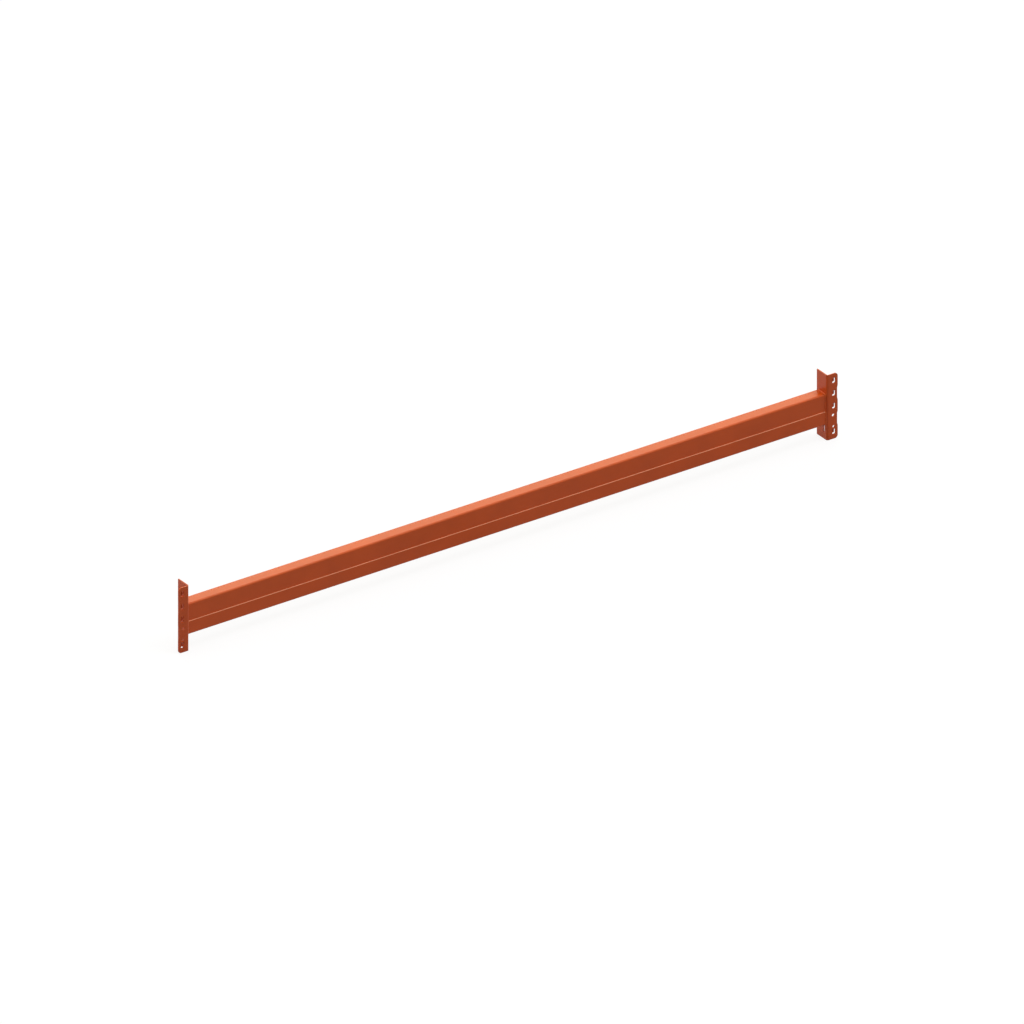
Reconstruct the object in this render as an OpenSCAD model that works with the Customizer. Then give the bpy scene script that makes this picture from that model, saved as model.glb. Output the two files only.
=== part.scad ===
// Pallet rack beam: two roll-formed channels nested into a box section, with a
// hook connector folded from plate welded on each end.
// X runs along the beam, -Y is the aisle side that the hooks face away from, +Z is up.
// The origin is at the middle of the footprint, level with the connectors' lower edges.

/* [Beam] */
// Clear length between the two end plates
beam_length = 2700; // [1200:50:3600]
// Height of the box section
beam_height = 120; // [90:1:150]
// Width of the lower channel, over its outside
beam_width = 54; // [44:1:70]
// Thickness of the sheet that both channels are rolled from
sheet = 2; // [1.2:0.1:3]
// Outside radius of the channels' bends
channel_radius = 6; // [4:0.5:8]
// Height of the lower channel's legs, up to the lap
lap_height = 53; // [30:1:70]
// Rounding of the outer corners where the channels' legs end
leg_end_rounding = 1.2; // [0.4:0.1:1.2]
// Sliding clearance between the nested legs, on each side
nest_clearance = 0.1; // [0.05:0.05:0.5]
// Clearance between the upper channel's feet and the bends they stand over
foot_clearance = 0.3; // [0.1:0.1:2]
// Height of the beam's underside above the connectors' lower edges
beam_rise = 58; // [48:1:75]
// Distance from the fold of the end plates to the lower channel's front
fold_margin = 0.3; // [0.1:0.1:3]
// Distance from the lower channel's back to the end plates' rear edge
back_margin = 1; // [0:0.5:8]

/* [Connector] */
// Thickness of the connector plate
plate = 4; // [3:0.5:5]
// Reach of the hook leg, from the end plate's inner face to its free edge
leg_reach = 45; // [42:1:60]
// Outside radius of the fold between end plate and hook leg
fold_radius = 7; // [6:0.5:9]
// Radius of the hook leg's two outer corners
corner_radius = 12; // [4:1:15]
// Distance between neighbouring hooks
hook_pitch = 50; // [46:1:60]
// Places for hooks up the leg, counting the bare one that holds the lock
hook_places = 5; // [5:1:7]
// Distance from the last hook's centre to the plate's end
hook_margin = 27.5; // [24:0.5:36]

/* [Hooks] */
// Distance from the end plate's inner face to the hooks' centre line
hook_column = 28.5; // [24:0.5:32]
// Width of the window that each hook is lanced from
window_width = 13; // [11:0.5:20]
// Height of that window
window_height = 24; // [22:0.5:30]
// Rise of the window's middle above the hook's place on the pitch
window_lift = 2.2; // [0:0.2:4]
// Radius of the window's two lower corners
window_radius = 4; // [2:0.5:6]
// Slit left on each side of the tongue by the lancing punch
lance_slit = 1; // [0.5:0.1:2]
// Gap behind the leg for the upright's face
upright_gap = 3; // [2:0.1:5]
// Angle of the joggle that sets the tongue back
joggle_angle = 45; // [35:1:60]
// Inside radius of the joggle's bends
joggle_radius = 1; // [0.5:0.5:3]
// Radius of the tongue's two lower corners
tongue_radius = 4; // [2:0.5:5]

/* [Lock holes and edge] */
// Diameter of the upper lock hole
upper_hole_diameter = 11; // [8:0.5:13]
// Distance from the end plate's inner face to the upper lock hole's centre
upper_hole_column = 26; // [22:0.5:32]
// Drop of the upper lock hole below the place of the hook above it
upper_hole_drop = 35; // [28:0.5:37]
// Diameter of the lower lock hole
lower_hole_diameter = 9; // [6:0.5:11]
// Distance from the end plate's inner face to the lower lock hole's centre
lower_hole_column = 27.5; // [22:0.5:32]
// Rise of the lower lock hole above the place of the lowest hook
lower_hole_rise = 20.5; // [19:0.5:24]
// Width of the lock slot in the end plate
slot_width = 7; // [5:0.5:10]
// Length of the lock slot
slot_length = 28; // [16:1:30]
// Distance from the hook leg's front face to the slot's centre line
slot_setback = 19.5; // [14:0.5:30]
// Depth of the shallow recesses in the hook leg's free edge
recess_depth = 2.5; // [1:0.5:4]
// Length of a recess, measured at the free edge
recess_length = 58; // [40:1:64]
// Length of the slope at each end of a recess
recess_slope = 10; // [4:1:14]

/* [Welds] */
// Leg length of the fillet welds
weld_leg = 3; // [2:0.1:4]
// How far the welds' faces bulge, as the setback of their arc's centre
weld_crown = 2; // [1:0.5:6]
// Distance kept between the lowest weld and the lock slot
slot_weld_margin = 1; // [0.5:0.5:5]

/* [Hidden] */
$fn = 48;
paint = [0.80, 0.36, 0.17];
weld_paint = [0.72, 0.31, 0.14];

// Cutters run this far past what they cut
overshoot = 1;
// Straight parts run this far into the bends they continue, so that they fuse
fuse = 0.002;

end_x = beam_length / 2;
beam_front = fold_radius + fold_margin;
beam_back = beam_front + beam_width;
plate_depth = beam_back + back_margin;
connector_height = (hook_places - 1) * hook_pitch + 2 * hook_margin;

// Both channels, in the connector's own section: y is measured from the leg's front face
ledge = sheet + nest_clearance;
upper_width = beam_width - 2 * ledge;
upper_front = beam_front + ledge;
upper_back = beam_back - ledge;
beam_top = beam_rise + beam_height;
lap_level = beam_rise + lap_height;
feet_level = beam_rise + channel_radius + foot_clearance;

// Hooks: the tongue is the sheet of its window, so their lengths agree once it is unbent
bare_place = 1;
recess_places = [1, 3];
tongue_width = window_width - 2 * lance_slit;
joggle_mid = joggle_radius + plate / 2;
joggle_offset = plate + upright_gap;
bends_offset = 2 * joggle_mid * (1 - cos(joggle_angle));
slope_length = (joggle_offset - bends_offset) / sin(joggle_angle);
bends_length = 2 * joggle_mid * joggle_angle * PI / 180;
tongue_grip = window_height - bends_length - slope_length;

// Lock slot
slot_top = beam_rise - weld_leg - slot_weld_margin;

// Welds: the back one stands on the strip of plate behind the upper channel
back_weld_leg = min(weld_leg, sheet + back_margin);
weld_root = plate / 2;

function place_height(i) = hook_margin + i * hook_pitch;

function window_middle(i) = place_height(i) + window_lift;

// ---- Channels ----

// Rounded rectangle whose lower left corner is at the origin
module rounded_block(width, height, radius) {
    translate([radius, 0]) square([width - 2 * radius, height]);
    translate([0, radius]) square([width, height - 2 * radius]);
    for (x = [radius, width - radius], y = [radius, height - radius])
        translate([x, y]) circle(radius);
}

// U section with its web at the bottom, centred on x
module channel_section(width, height) {
    translate([-width / 2, 0]) intersection() {
        difference() {
            rounded_block(width, height + 2 * channel_radius, channel_radius);
            translate([sheet, sheet]) rounded_block(
                width - 2 * sheet,
                height + 2 * channel_radius,
                channel_radius - sheet
            );
        }
        translate([0, -leg_end_rounding])
            rounded_block(width, height + leg_end_rounding, leg_end_rounding);
    }
}

// Stretches a section that is drawn across the beam along its full length
module along_beam() {
    translate([-end_x, (beam_front + beam_back - plate_depth) / 2, 0])
        rotate([90, 0, 90])
        linear_extrude(beam_length)
        children();
}

module lower_channel() {
    color(paint) along_beam() translate([0, beam_rise]) channel_section(beam_width, lap_height);
}

module upper_channel() {
    color(paint) along_beam()
        translate([0, beam_top])
        mirror([0, 1])
        channel_section(upper_width, beam_top - feet_level);
}

// ---- Connector, drawn with x outward from the end plate's inner face, y back from the
//      hook leg's front face and z up from the lower edge ----

// L section of the folded plate
module fold_section() {
    difference() {
        union() {
            translate([fold_radius, 0]) square([leg_reach - fold_radius, plate]);
            translate([0, fold_radius]) square([plate, plate_depth - fold_radius]);
            intersection() {
                translate([fold_radius, fold_radius]) circle(fold_radius);
                square(fold_radius);
            }
        }
        translate([fold_radius, fold_radius]) circle(fold_radius - plate);
    }
}

// What a round corner leaves of a square one, with the corner's tip at the origin
module corner_waste(radius) {
    difference() {
        translate([-overshoot, -overshoot]) square(radius + overshoot);
        translate([radius, radius]) circle(radius);
    }
}

// Shallow recess in the leg's free edge, centred on height 0
module edge_recess() {
    half = recess_length / 2;
    lead = overshoot * recess_slope / recess_depth;
    polygon([
        [leg_reach + overshoot, half + lead],
        [leg_reach - recess_depth, half - recess_slope],
        [leg_reach - recess_depth, recess_slope - half],
        [leg_reach + overshoot, -half - lead]
    ]);
}

// Outline of the connector seen from the aisle
module front_outline() {
    difference() {
        square([leg_reach, connector_height]);
        translate([leg_reach, 0]) mirror([1, 0]) corner_waste(corner_radius);
        translate([leg_reach, connector_height]) mirror([1, 0]) mirror([0, 1]) corner_waste(corner_radius);
        for (i = recess_places) translate([0, place_height(i)]) edge_recess();
    }
}

// Window that is square at the top, where the tongue bends, and round at the bottom
module window_outline() {
    half = window_width / 2;
    translate([-half, window_radius - window_height / 2])
        square([window_width, window_height - window_radius]);
    translate([window_radius - half, -window_height / 2])
        square([window_width - 2 * window_radius, window_height]);
    for (side = [-1, 1])
        translate([side * (half - window_radius), window_radius - window_height / 2])
        circle(window_radius);
}

// Turns a drawing of the leg's front face into a solid, from depth y = start to y = end
module through_leg(start, end) {
    translate([0, end, 0]) rotate([90, 0, 0]) linear_extrude(end - start) children();
}

module leg_hole(column, height, diameter) {
    translate([column, -overshoot, height])
        rotate([-90, 0, 0])
        cylinder(h = plate + 2 * overshoot, d = diameter);
}

module lock_slot() {
    radius = slot_width / 2;
    translate([-overshoot, slot_setback, 0]) rotate([0, 90, 0]) linear_extrude(plate + 2 * overshoot) {
        for (end = [slot_top - radius, slot_top - slot_length + radius])
            translate([-end, 0]) circle(radius);
        translate([-slot_top + radius, -radius]) square([slot_length - slot_width, slot_width]);
    }
}

// Bend of the tongue, turned about the z axis from the x axis on, with its width along z
module tongue_bend() {
    rotate_extrude(angle = joggle_angle) translate([joggle_radius, 0]) square([plate, tongue_width]);
}

// Flat lower end of the tongue with its two corners rounded, hanging down from z = 0
module tongue_tip() {
    difference() {
        translate([0, -tongue_grip]) square([tongue_width, tongue_grip]);
        translate([0, -tongue_grip]) corner_waste(tongue_radius);
        translate([tongue_width, -tongue_grip]) mirror([1, 0]) corner_waste(tongue_radius);
    }
}

// Tongue hanging from the window's top edge: it bends back, slopes, bends down again and
// grips behind the upright's face. Its root is at the origin, in the plane of the leg.
module tongue() {
    bend_drop = joggle_mid * sin(joggle_angle);
    slope_back = slope_length * sin(joggle_angle);
    slope_drop = slope_length * cos(joggle_angle);
    first_back = joggle_mid * (1 - cos(joggle_angle));
    translate([-tongue_width / 2, 0, 0]) {
        // First bend, about an axis behind the leg
        translate([0, plate + joggle_radius, 0])
            rotate([90, 0, 90])
            rotate([0, 0, 180])
            tongue_bend();
        // Slope between the bends
        translate([0, plate / 2 + first_back, -bend_drop])
            rotate([joggle_angle, 0, 0])
            translate([0, -plate / 2, -slope_length - fuse])
            cube([tongue_width, plate, slope_length + 2 * fuse]);
        // Second bend, about an axis in front of the grip
        translate([0, joggle_offset - joggle_radius, -2 * bend_drop - slope_drop])
            rotate([90, 0, 90])
            tongue_bend();
        // Grip
        translate([0, 0, -2 * bend_drop - slope_drop])
            through_leg(joggle_offset, joggle_offset + plate)
            tongue_tip();
    }
}

module connector() {
    difference() {
        intersection() {
            linear_extrude(connector_height) fold_section();
            through_leg(0, plate_depth) front_outline();
        }
        for (i = [0:hook_places - 1])
            if (i != bare_place)
                translate([hook_column, 0, window_middle(i)])
                through_leg(-overshoot, plate + overshoot)
                window_outline();
        leg_hole(
            upper_hole_column,
            place_height(bare_place + 1) - upper_hole_drop,
            upper_hole_diameter
        );
        leg_hole(lower_hole_column, place_height(0) + lower_hole_rise, lower_hole_diameter);
        lock_slot();
    }
    for (i = [0:hook_places - 1])
        if (i != bare_place)
            translate([hook_column, 0, window_middle(i) + window_height / 2])
            tongue();
}

// ---- Welds, drawn in the connector's coordinates on the end plate's inner face ----

// Cross-section of a fillet: x is the distance off the channel's surface and y the distance
// off the plate. A root reaches below the plate's face, where the fold falls away from it.
module bead_section(leg, root) {
    intersection() {
        translate([-weld_crown, -weld_crown]) circle(norm([leg + weld_crown, weld_crown]));
        square(leg);
    }
    if (root > 0) translate([0, -root]) square([leg, root]);
}

// Straight fillet over a flat top face, running from the origin towards the aisle
module bead_run(length, leg, root = 0) {
    rotate([0, -90, 0]) rotate([90, 0, 0]) linear_extrude(length) bead_section(leg, root);
}

// Fillet round a channel's bend, from its top face to its front face
module bead_turn(leg, root = 0) {
    mirror([0, 1, 0])
        rotate([0, -90, 0])
        rotate_extrude(angle = 90)
        translate([channel_radius, 0])
        bead_section(leg, root);
}

// Fillet across the top of a channel, from its rear bend to the end of its front bend
module cross_weld(front, width, root = 0) {
    translate([0, front + width - channel_radius, 0])
        bead_run(width - 2 * channel_radius + fuse, weld_leg, root);
    translate([0, front + channel_radius, -channel_radius]) bead_turn(weld_leg, root);
}

// Turns what is drawn for a channel's top face onto its front or back face
module on_front_face() { rotate([90, 0, 0]) children(); }

module on_back_face() { rotate([270, 0, 0]) children(); }

// Cuts the plate's face and its fold out of a rooted weld, so that the two meet there
module trimmed_by_plate() {
    difference() {
        children();
        translate([0, fold_radius, 0]) cube([plate, plate_depth, connector_height]);
        translate([fold_radius, fold_radius, 0])
            cylinder(h = connector_height, r = fold_radius);
    }
}

module top_weld() {
    translate([0, 0, beam_top]) cross_weld(upper_front, upper_width);
}

module front_weld() {
    trimmed_by_plate() {
        translate([0, upper_front, beam_top - channel_radius])
            on_front_face()
            bead_run(beam_top - channel_radius - lap_level, weld_leg, weld_root);
        translate([0, beam_front, lap_level])
            on_front_face()
            bead_run(lap_height - channel_radius, weld_leg, weld_root);
    }
}

module back_weld() {
    translate([0, upper_back, lap_level])
        on_back_face()
        bead_run(beam_top - channel_radius - lap_level, back_weld_leg);
}

module bottom_weld() {
    trimmed_by_plate()
        translate([0, 0, beam_rise])
        mirror([0, 0, 1])
        cross_weld(beam_front, beam_width, weld_root);
}

// ---- The two ends ----

module on_right() { translate([end_x, -plate_depth / 2, 0]) children(); }

module on_left() { mirror([1, 0, 0]) on_right() children(); }

module left_connector() { color(paint) on_left() connector(); }

module left_top_weld() { color(weld_paint) on_left() top_weld(); }

module left_front_weld() { color(weld_paint) on_left() front_weld(); }

module left_back_weld() { color(weld_paint) on_left() back_weld(); }

module left_bottom_weld() { color(weld_paint) on_left() bottom_weld(); }

module right_connector() { color(paint) on_right() connector(); }

module right_top_weld() { color(weld_paint) on_right() top_weld(); }

module right_front_weld() { color(weld_paint) on_right() front_weld(); }

module right_back_weld() { color(weld_paint) on_right() back_weld(); }

module right_bottom_weld() { color(weld_paint) on_right() bottom_weld(); }

upper_channel();
lower_channel();
left_connector();
left_top_weld();
left_front_weld();
left_back_weld();
left_bottom_weld();
right_connector();
right_top_weld();
right_front_weld();
right_back_weld();
right_bottom_weld();
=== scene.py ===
"""Looks of a pallet rack beam: orange powder coat on folded plate and roll-formed channels,
with rippled weld beads at both ends. Metres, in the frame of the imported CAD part."""
import math
import random

import bmesh
import bpy
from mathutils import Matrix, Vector


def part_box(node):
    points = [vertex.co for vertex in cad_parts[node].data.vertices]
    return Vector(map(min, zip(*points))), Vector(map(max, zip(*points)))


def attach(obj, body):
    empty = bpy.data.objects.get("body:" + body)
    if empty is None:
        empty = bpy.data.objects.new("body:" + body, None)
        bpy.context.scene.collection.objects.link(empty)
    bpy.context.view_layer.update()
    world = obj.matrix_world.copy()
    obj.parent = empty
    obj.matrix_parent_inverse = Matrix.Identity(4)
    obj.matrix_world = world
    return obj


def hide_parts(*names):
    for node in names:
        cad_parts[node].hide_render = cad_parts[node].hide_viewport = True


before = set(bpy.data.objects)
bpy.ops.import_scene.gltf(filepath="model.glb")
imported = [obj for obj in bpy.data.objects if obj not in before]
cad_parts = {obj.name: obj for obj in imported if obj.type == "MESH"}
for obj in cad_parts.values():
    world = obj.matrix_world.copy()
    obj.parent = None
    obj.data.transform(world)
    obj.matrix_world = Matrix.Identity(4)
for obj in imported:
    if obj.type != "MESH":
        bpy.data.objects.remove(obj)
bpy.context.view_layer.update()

# ---- Sizes, in metres: outside radii of the bends, and the welds' fillets ----
MM = 0.001
CHANNEL_RADIUS = 6 * MM
FOLD_RADIUS = 7 * MM
WELD_LEG = 3 * MM
WELD_CROWN = 2 * MM

# ---- Places, read from the frame ----
UPPER_LOW, UPPER_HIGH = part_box("upper_channel")
LOWER_LOW, LOWER_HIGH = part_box("lower_channel")
END_X = UPPER_HIGH.x
LEG_FRONT_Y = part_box("right_connector")[0].y

# ---- Weld beads ----
# A ripple bows forward in the bead's middle. It drops over the first RIPPLE_DROP of its length
# and rises over the rest. Lengths vary by RIPPLE_SPREAD, heights by RIPPLE_SWELL, and a
# RIPPLE_FULLNESS below 1 carries the ripples out towards the bead's two toes. A free end starts
# at CAP_START of the full size and reaches it after CAP_LENGTH.
RIPPLE_PITCH = 1.3 * MM
RIPPLE_HEIGHT = 0.16 * MM
RIPPLE_BOW = 1.1 * MM
RIPPLE_DROP = 0.22
RIPPLE_SPREAD = (0.82, 1.18)
RIPPLE_SWELL = (0.65, 1.2)
RIPPLE_MARGIN = 4 * RIPPLE_PITCH
RIPPLE_FULLNESS = 0.7
STATION_STEP = 0.16 * MM
ARC_STEPS = 12
BEAD_SINK = 0.03 * MM
CAP_LENGTH = 4 * MM
CAP_START = 0.35
LAP_BLEND = 4.5 * MM
LAP_LEAD = LAP_BLEND / 4

# ---- Camera: a parallel view from the aisle side, left of the beam ----
VIEW_AZIMUTH = math.radians(-35)
VIEW_ELEVATION = math.radians(28)
VIEW_WIDTH = 3.5504
VIEW_TARGET = Vector((0.0535, 0.0220, 0.0924))
VIEW_DISTANCE = 8.0

# ---- Light: name, where it comes from, level, spread in degrees, colour ----
SKY_LEVEL = 0.10
LAMPS = (
    ("overhead", (0.0, 0.0, 1.0), 1.65, 60, (1.0, 1.0, 1.0)),
    ("key", (0.506, -0.469, 0.723), 0.88, 40, (1.0, 1.0, 1.0)),
    ("sheen", (0.51, 0.72, 0.47), 0.95, 50, (1.0, 1.0, 0.62)),
    ("side", (-0.85, 0.52, 0.10), 1.10, 40, (1.0, 1.0, 1.0)),
)
FLOOR_BOUNCE = 0.35
FLOOR_WHITE = 0.80
FLOOR_SHADE_SHARE = 0.16
FLOOR_GLOW = 1.06
FLOOR_SIZE = 60.0
FLOOR_HEIGHT = -0.2 * MM

# ---- Paint: colours in sRGB, 0 to 255 ----
BEAM_PAINT = (212, 84, 18)
# The connectors' paint is the beam's coat made a shade darker. This is painted shade that darkens
# the connectors beside the beam.
CONNECTOR_DARKENED_PAINT = (205, 79, 15)
# The weld paint is the coat made lighter than the beam's. This is painted light that lifts the
# shade falling in the weld corners.
WELD_LIGHTENED_PAINT = (222, 96, 32)
PAINT_DRIFT = (0.95, 1.05)
PAINT_IOR = 1.35
PAINT_ROUGHNESS = (0.34, 0.42)
EDGE_RADIUS = 0.5 * MM
COAT_PEEL = 0.02 * MM
WELD_PEEL = 0.01 * MM
GRIT_SHARE = 1 / 8

# ---- The lap edge's painted highlight ----
# A pale strip is painted along the lower channel's top edge. It is a painted highlight where the
# lap edge catches the light.
LAP_HIGHLIGHT_PAINT = (255, 168, 126)
LAP_HIGHLIGHT_SHARE = (0.85, 1.0)
LAP_HIGHLIGHT_WIDTH = 2.1 * MM
LAP_HIGHLIGHT_FADE = 0.4 * MM
LAP_HIGHLIGHT_RAGGED = 0.9 * MM

# ---- Noise scales, in waves a metre ----
DRIFT_SCALE = 9.0
GLOSS_SCALE = 60.0
PEEL_SCALE = 420.0
GRIT_SCALE = 2600.0
HIGHLIGHT_PATCH_SCALE = 35.0
RAGGED_SCALE = 160.0


def linear(colour):
    """Scene-linear RGBA of an sRGB colour given in 0 to 255."""
    def channel(value):
        share = value / 255
        return share / 12.92 if share <= 0.04045 else ((share + 0.055) / 1.055) ** 2.4
    return tuple(channel(value) for value in colour) + (1.0,)


class Nodes:
    """A short way to add and join the nodes of one material or world."""

    def __init__(self, owner):
        owner.use_nodes = True
        self.tree = owner.node_tree
        self.tree.nodes.clear()

    def add(self, kind, settings=None, **inputs):
        node = self.tree.nodes.new(kind)
        for name, value in (settings or {}).items():
            setattr(node, name, value)
        for name, value in inputs.items():
            self.feed(node, name.replace("_", " "), value)
        return node

    def feed(self, node, name, value):
        """Links or sets one input, given by its name or by its number in digits."""
        socket = node.inputs[int(name)] if name.isdigit() else node.inputs[name]
        if isinstance(value, bpy.types.NodeSocket):
            self.tree.links.new(value, socket)
        else:
            socket.default_value = value

    def maths(self, operation, first, second):
        node = self.add("ShaderNodeMath", {"operation": operation})
        self.feed(node, "0", first)
        self.feed(node, "1", second)
        return node.outputs[0]

    def noise(self, place, scale, detail):
        node = self.add("ShaderNodeTexNoise", Vector=place, Scale=scale, Detail=detail)
        return node.outputs["Fac"]

    def ranged(self, value, low, high):
        """A value from 0 to 1, spread from low to high."""
        node = self.add("ShaderNodeMapRange", Value=value, To_Min=low, To_Max=high)
        return node.outputs["Result"]


# ---- Materials ----

def drifting_colour(nodes, place, colour):
    """The paint's colour, a little darker and lighter from place to place."""
    shade = nodes.add("ShaderNodeValToRGB", Fac=nodes.noise(place, DRIFT_SCALE, 3.0))
    base = linear(colour)[:3]
    for stop, position, share in zip(shade.color_ramp.elements, (0.3, 0.7), PAINT_DRIFT):
        stop.position = position
        stop.color = tuple(part * share for part in base) + (1.0,)
    return shade.outputs["Color"]


def painted_highlight_above(nodes, place, paint, highlight_above):
    """The paint, lightened above a height into a painted highlight along the lap edge, with a
    ragged border and uneven strength.
    """
    height = nodes.add("ShaderNodeSeparateXYZ", Vector=place).outputs["Z"]
    border = nodes.ranged(nodes.noise(place, RAGGED_SCALE, 2.0),
                          highlight_above - LAP_HIGHLIGHT_RAGGED / 2, highlight_above + LAP_HIGHLIGHT_RAGGED / 2)
    lit_strip = nodes.add("ShaderNodeMapRange", Value=height, From_Min=border,
                       From_Max=nodes.maths("ADD", border, LAP_HIGHLIGHT_FADE))
    # The painted highlight's strength varies from place to place.
    highlight_strength = nodes.ranged(nodes.noise(place, HIGHLIGHT_PATCH_SCALE, 3.0), *LAP_HIGHLIGHT_SHARE)
    pale = nodes.add("ShaderNodeMix", {"data_type": "RGBA"})
    nodes.feed(pale, "0", nodes.maths("MULTIPLY", lit_strip.outputs["Result"], highlight_strength))
    nodes.feed(pale, "6", paint)
    nodes.feed(pale, "7", linear(LAP_HIGHLIGHT_PAINT))
    return pale.outputs[2]


def orange_peel(nodes, place, height, edge_radius):
    """The normal of a sprayed coat: edges softened, then orange peel, then fine grit."""
    normal = nodes.add("ShaderNodeBevel", {"samples": 4}, Radius=edge_radius).outputs["Normal"]
    for scale, detail, depth in ((PEEL_SCALE, 1.0, height),
                                 (GRIT_SCALE, 0.0, height * GRIT_SHARE)):
        bump = nodes.add("ShaderNodeBump", Strength=1.0, Distance=depth, Normal=normal,
                         Height=nodes.noise(place, scale, detail))
        normal = bump.outputs["Normal"]
    return normal


def powder_coat(name, colour, peel_height, edge_radius=0.0, highlight_above=None):
    """Semi-gloss powder coat, with a painted highlight above the height highlight_above where one
    is given.
    """
    material = bpy.data.materials.new(name)
    nodes = Nodes(material)
    place = nodes.add("ShaderNodeTexCoord").outputs["Object"]
    paint = drifting_colour(nodes, place, colour)
    if highlight_above is not None:
        paint = painted_highlight_above(nodes, place, paint, highlight_above)
    shader = nodes.add("ShaderNodeBsdfPrincipled", Base_Color=paint, IOR=PAINT_IOR,
                       Roughness=nodes.ranged(nodes.noise(place, GLOSS_SCALE, 2.0),
                                              *PAINT_ROUGHNESS),
                       Normal=orange_peel(nodes, place, peel_height, edge_radius))
    nodes.add("ShaderNodeOutputMaterial", Surface=shader.outputs["BSDF"])
    return material


def seen_or_mirrored(nodes):
    """1 for rays that the camera, a mirror or a clear piece sends out, 0 for the rest."""
    rays = nodes.add("ShaderNodeLightPath").outputs
    mirrored = nodes.maths("MAXIMUM", rays["Is Glossy Ray"], rays["Is Transmission Ray"])
    return nodes.maths("MAXIMUM", rays["Is Camera Ray"], mirrored)


def floor_finish():
    """Plain floor: white to the eye with a share of the object's shadow, pale grey to light."""
    material = bpy.data.materials.new("plain_floor")
    nodes = Nodes(material)
    seen = seen_or_mirrored(nodes)
    share = nodes.maths("MULTIPLY", seen, 1 - FLOOR_SHADE_SHARE)
    matt = nodes.add("ShaderNodeBsdfDiffuse", Color=nodes.ranged(seen, FLOOR_BOUNCE, FLOOR_WHITE))
    glow = nodes.add("ShaderNodeEmission", Color=(1, 1, 1, 1), Strength=FLOOR_GLOW)
    blend = nodes.add("ShaderNodeMixShader")
    nodes.feed(blend, "0", share)
    nodes.feed(blend, "1", matt.outputs[0])
    nodes.feed(blend, "2", glow.outputs[0])
    nodes.add("ShaderNodeOutputMaterial", Surface=blend.outputs[0])
    return material


# ---- Weld beads, in the connector's own coordinates: x outward from the end plate's inner
#      face, y back from the hook leg's front face, z up from the lower edge ----

class Spot:
    """A place on a bead's path: the corner that it fills, the way out from the channel, and
    how far the channel's face lies behind that corner."""

    def __init__(self, y, z, out, seat=0.0):
        self.y = y
        self.z = z
        self.out = out
        self.seat = seat


def straight(start, end, out):
    """Spots from start to end, both (y, z), at the station step."""
    length = math.dist(start, end)
    count = max(2, round(length / STATION_STEP))
    for i in range(count + 1):
        part = i / count
        y, z = (a + (b - a) * part for a, b in zip(start, end))
        yield Spot(y, z, out)


def turn(centre, start, end):
    """Spots round a channel's bend, from angle start to angle end, in degrees."""
    count = round(CHANNEL_RADIUS * math.radians(abs(end - start)) / STATION_STEP)
    for i in range(1, count):
        angle = math.radians(start + (end - start) * i / count)
        out = (math.cos(angle), math.sin(angle))
        yield Spot(centre[0] + CHANNEL_RADIUS * out[0], centre[1] + CHANNEL_RADIUS * out[1], out)


def eased(part):
    """A share from 0 to 1 that starts and ends gently."""
    return part * part * (3 - 2 * part)


def step_over_lap(spots, upper_y, lower_y, level):
    """Leads the front bead over the lower channel's edge in one soft step."""
    for spot in spots:
        part = min(max((spot.z - level + LAP_LEAD) / LAP_BLEND, 0.0), 1.0)
        spot.y = lower_y + (upper_y - lower_y) * eased(part)
        spot.seat = abs(upper_y - spot.y) if spot.z > level else 0.0
    return spots


def bead_paths():
    """The four beads of one end, by name: spots and which ends are free."""
    upper_front = UPPER_LOW.y - LEG_FRONT_Y
    upper_back = UPPER_HIGH.y - LEG_FRONT_Y
    lower_front = LOWER_LOW.y - LEG_FRONT_Y
    lower_back = LOWER_HIGH.y - LEG_FRONT_Y
    top, bottom, lap = UPPER_HIGH.z, LOWER_LOW.z, LOWER_HIGH.z
    r = CHANNEL_RADIUS
    up, down, front, back = (0.0, 1.0), (0.0, -1.0), (-1.0, 0.0), (1.0, 0.0)

    over_top = list(straight((upper_back - r, top), (upper_front + r, top), up))
    over_top += turn((upper_front + r, top - r), 90, 180)
    over_top.append(Spot(upper_front, top - r, front))
    down_front = list(straight((upper_front, top - r), (lower_front, bottom + r), front))
    under = [Spot(lower_front, bottom + r, front)]
    under += turn((lower_front + r, bottom + r), 180, 270)
    under += straight((lower_front + r, bottom), (lower_back - r, bottom), down)
    down_back = list(straight((upper_back, top - r), (upper_back, lap), back))
    return {
        "top": (over_top, (True, False)),
        "front": (step_over_lap(down_front, upper_front, lower_front, lap), (False, False)),
        "bottom": (under, (False, True)),
        "back": (down_back, (True, True)),
    }


def fold_fall(y):
    """How far the plate's face has fallen away at depth y, where it turns into the fold."""
    if y >= FOLD_RADIUS:
        return 0.0
    return FOLD_RADIUS - math.sqrt(FOLD_RADIUS ** 2 - (FOLD_RADIUS - max(y, 0.0)) ** 2)


class Ripples:
    """Fish-scale ripples along a bead, each a little different in length and height."""

    def __init__(self, length, seed):
        dice = random.Random(seed)
        self.starts = [-RIPPLE_MARGIN]
        self.heights = []
        while self.starts[-1] < length + RIPPLE_MARGIN:
            self.starts.append(self.starts[-1] + RIPPLE_PITCH * dice.uniform(*RIPPLE_SPREAD))
            self.heights.append(RIPPLE_HEIGHT * dice.uniform(*RIPPLE_SWELL))
        self.at = 0

    def height(self, along):
        while self.at > 0 and self.starts[self.at] > along:
            self.at -= 1
        while self.starts[self.at + 1] <= along:
            self.at += 1
        start, end = self.starts[self.at], self.starts[self.at + 1]
        part = (along - start) / (end - start)
        if part < RIPPLE_DROP:
            return self.heights[max(self.at - 1, 0)] * (1 - eased(part / RIPPLE_DROP))
        rise = (part - RIPPLE_DROP) / (1 - RIPPLE_DROP)
        return self.heights[self.at] * math.sin(rise * math.pi / 2)


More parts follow.
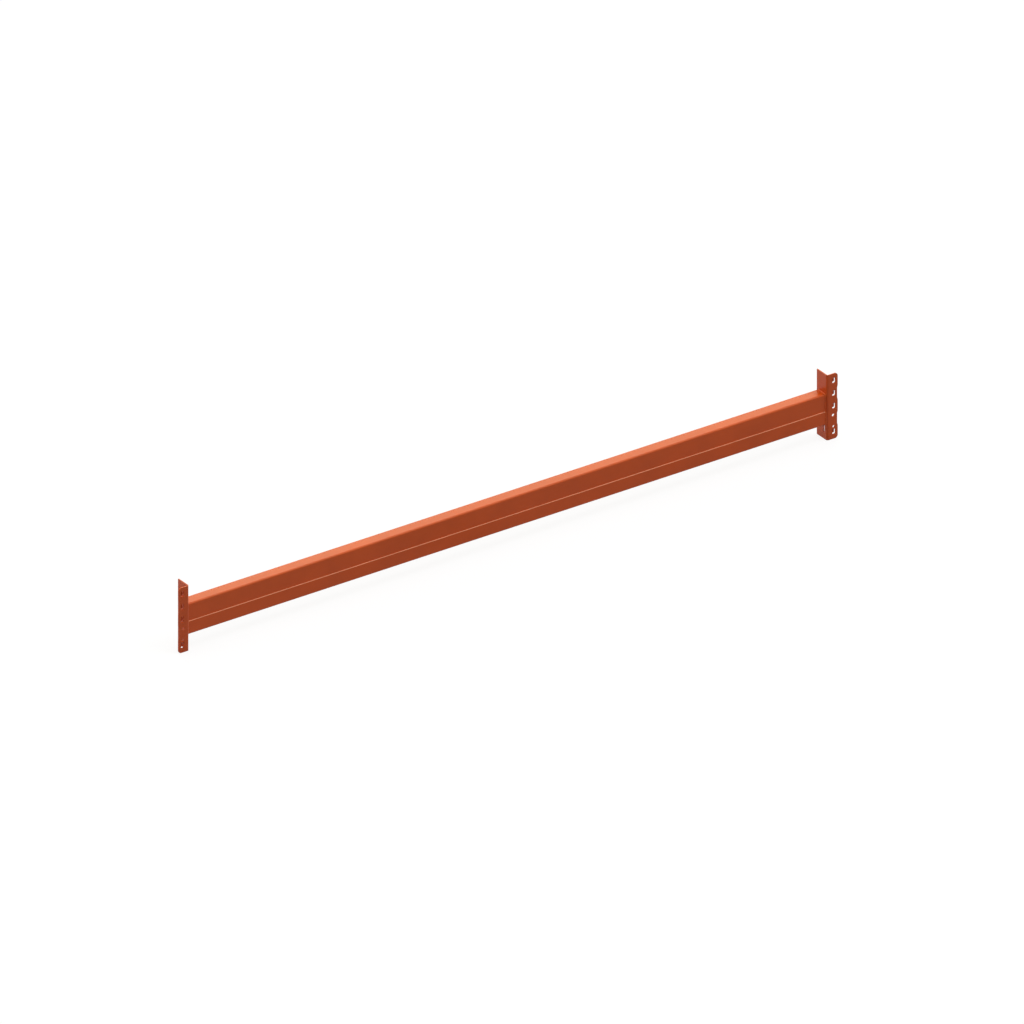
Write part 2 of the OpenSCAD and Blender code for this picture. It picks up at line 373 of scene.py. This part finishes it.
def distances(spots):
    """How far each spot lies along its bead."""
    reached = [0.0]
    for before, spot in zip(spots, spots[1:]):
        reached.append(reached[-1] + math.dist((before.y, before.z), (spot.y, spot.z)))
    return reached


def cap_size(along, total, free):
    """The bead's size at a distance along it, where a free end is rounded off."""
    ends = [along if free[0] else CAP_LENGTH, total - along if free[1] else CAP_LENGTH]
    part = min(min(ends) / CAP_LENGTH, 1.0)
    return CAP_START + (1 - CAP_START) * math.sqrt(1 - (1 - part) ** 2)


def bead_row(spot, size, swell):
    """One ring of points (x, y, z) round the bead: root, foot on the channel, face and seat.
    swell gives the ripple's height at a share t of the way over the face."""
    leg = WELD_LEG * size
    crown = WELD_CROWN * size
    radius = math.hypot(leg + crown, crown)
    first = math.atan2(crown, leg + crown)

    def point(off_channel, off_plate, fall_share=0.0):
        y = spot.y + spot.out[0] * off_channel
        z = spot.z + spot.out[1] * off_channel
        return (fall_share * fold_fall(y) - off_plate, y, z)

    row = [point(-spot.seat - BEAD_SINK, -BEAD_SINK), point(leg, -BEAD_SINK, 1.0)]
    for i in range(ARC_STEPS + 1):
        t = i / ARC_STEPS
        angle = first + (math.pi / 2 - 2 * first) * t
        reach = radius + swell(t) * size * math.sin(math.pi * t) ** RIPPLE_FULLNESS
        row.append(point(reach * math.cos(angle) - crown, reach * math.sin(angle) - crown,
                         (1 - t) ** 2))
    row.append(point(-spot.seat - BEAD_SINK, leg))
    return row


def bead_rows(spots, free, ripples, begun):
    """The rings of one bead, whose ripples run on from the distance begun."""
    lengths = distances(spots)
    rows = []
    for spot, along in zip(spots, lengths):
        def swell(t):
            return ripples.height(begun + along + RIPPLE_BOW * 4 * t * (1 - t))
        rows.append(bead_row(spot, cap_size(along, lengths[-1], free), swell))
    return rows


def add_bead(side, name, rows, finish):
    """Builds one bead, smooth on its face alone, stands it in for its CAD node and gives it
    its finish."""
    sign = 1 if side == "right" else -1
    shape = bmesh.new()
    rings = [[shape.verts.new((sign * (END_X + x), LEG_FRONT_Y + y, z)) for x, y, z in row]
             for row in rows]
    count = len(rings[0])
    for ring, following in zip(rings, rings[1:]):
        for i in range(count):
            j = (i + 1) % count
            face = shape.faces.new((ring[i], ring[j], following[j], following[i]))
            face.smooth = 2 <= i < count - 2
    for cap in (shape.faces.new(rings[0]), shape.faces.new(reversed(rings[-1]))):
        for edge in cap.edges:
            edge.smooth = False
    bmesh.ops.recalc_face_normals(shape, faces=shape.faces[:])

    mesh = bpy.data.meshes.new(f"{side}_{name}_bead")
    shape.to_mesh(mesh)
    shape.free()
    bead = bpy.data.objects.new(mesh.name, mesh)
    bpy.context.scene.collection.objects.link(bead)
    mesh.materials.append(finish)
    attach(bead, "root")
    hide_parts(f"{side}_{name}_weld")


def add_beads(finish):
    """Lays the beads of both ends, with ripples that run on from one bead to the next."""
    paths = bead_paths()
    length = sum(distances(spots)[-1] for spots, free in paths.values())
    for seed, side in enumerate(("left", "right")):
        ripples = Ripples(length, seed)
        begun = 0.0
        for name, (spots, free) in paths.items():
            add_bead(side, name, bead_rows(spots, free, ripples, begun), finish)
            begun += distances(spots)[-1]


# ---- Stage ----

def add_floor():
    half = FLOOR_SIZE / 2
    mesh = bpy.data.meshes.new("floor")
    corners = [(half * x, half * y, FLOOR_HEIGHT) for x, y in ((-1, -1), (1, -1), (1, 1), (-1, 1))]
    mesh.from_pydata(corners, [], [(0, 1, 2, 3)])
    floor = bpy.data.objects.new("floor", mesh)
    bpy.context.scene.collection.objects.link(floor)
    mesh.materials.append(floor_finish())


def add_sky():
    """Even light all round, white where it is seen or mirrored."""
    world = bpy.data.worlds.new("soft_sky")
    bpy.context.scene.world = world
    nodes = Nodes(world)
    sky = nodes.add("ShaderNodeBackground", Color=(1, 1, 1, 1),
                    Strength=nodes.ranged(seen_or_mirrored(nodes), SKY_LEVEL, 1.0))
    nodes.add("ShaderNodeOutputWorld", Surface=sky.outputs[0])


def add_lamps():
    for name, source, level, spread, colour in LAMPS:
        lamp = bpy.data.lights.new(name, "SUN")
        lamp.energy = level
        lamp.angle = math.radians(spread)
        lamp.color = colour
        holder = bpy.data.objects.new(name, lamp)
        holder.rotation_euler = Vector(source).to_track_quat("Z", "Y").to_euler()
        bpy.context.scene.collection.objects.link(holder)


def add_camera():
    camera = bpy.data.cameras.new("camera")
    camera.type = "ORTHO"
    camera.ortho_scale = VIEW_WIDTH
    camera.clip_end = 100.0
    holder = bpy.data.objects.new("camera", camera)
    away = Vector((
        math.sin(VIEW_AZIMUTH) * math.cos(VIEW_ELEVATION),
        -math.cos(VIEW_AZIMUTH) * math.cos(VIEW_ELEVATION),
        math.sin(VIEW_ELEVATION),
    ))
    holder.location = VIEW_TARGET + away * VIEW_DISTANCE
    holder.rotation_euler = away.to_track_quat("Z", "Y").to_euler()
    bpy.context.scene.collection.objects.link(holder)
    bpy.context.scene.camera = holder


def dress_cad_nodes():
    """The channels and connectors keep their CAD form and get the coat: the lower channel's with a
    painted highlight along its lap edge, the connectors' a shade darker as painted shade.
    """
    finishes = {
        "upper_channel": powder_coat("channel_coat", BEAM_PAINT, COAT_PEEL, EDGE_RADIUS),
        # The lower channel's coat carries a pale strip along its lap edge, which is a painted
        # highlight.
        "lower_channel": powder_coat("lap_edge_highlight_coat", BEAM_PAINT, COAT_PEEL, EDGE_RADIUS,
                                     LOWER_HIGH.z - LAP_HIGHLIGHT_WIDTH),
    }
    # The connectors get a darker copy of the beam's coat, which is painted shade.
    connector_shaded_coat = powder_coat("connector_shaded_coat", CONNECTOR_DARKENED_PAINT, COAT_PEEL, EDGE_RADIUS)
    for name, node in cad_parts.items():
        node.data.materials.clear()
        node.data.materials.append(finishes.get(name, connector_shaded_coat))


add_camera()
add_floor()
add_sky()
add_lamps()
dress_cad_nodes()
# The beads get a lighter copy of the coat, which is painted light against the shade in their
# corners.
add_beads(powder_coat("coated_weld_lightened", WELD_LIGHTENED_PAINT, WELD_PEEL))

bpy.context.scene.view_settings.view_transform = "Standard"
